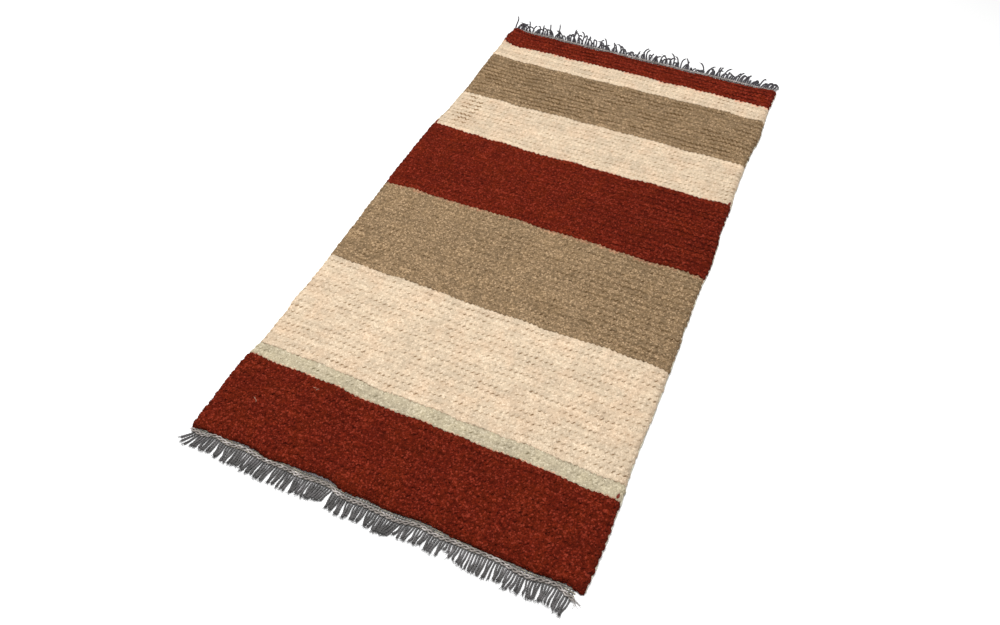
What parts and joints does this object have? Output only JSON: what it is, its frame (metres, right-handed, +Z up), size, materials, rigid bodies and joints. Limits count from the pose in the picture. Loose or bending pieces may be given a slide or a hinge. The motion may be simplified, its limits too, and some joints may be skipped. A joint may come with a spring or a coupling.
{
  "type": "nepalese rug",
  "caption": "Flat hand-knotted wool rug in plain cross bands of rust, cream and khaki, with twined ends and cut grey warp fringes; covers a floor.",
  "frame": {"origin": "under the middle of the whole rug's box, fringes included, on the floor", "axes": "+Y along the rug's length, from the end whose fringe lies flat to the end whose fringe stands up; +Z up out of the pile; +X across, to the right of a viewer at the -Y end"},
  "size_m": [0.716, 1.4094, 0.0326],
  "materials": {
    "wool_pile": "knotted wool pile in rust, sage, cream and khaki bands, matt and softly fuzzy",
    "warp_cotton": "plied dark grey cotton warp, matt, frayed at the cut ends",
    "twining_cord": "pale grey twined cotton cord, matt"
  },
  "bodies": {
    "root": {"rug": "wool_pile", "near_fringe": "warp_cotton", "far_fringe": "warp_cotton", "near_twining": "twining_cord", "far_twining": "twining_cord"}
  },
  "joints": []
}
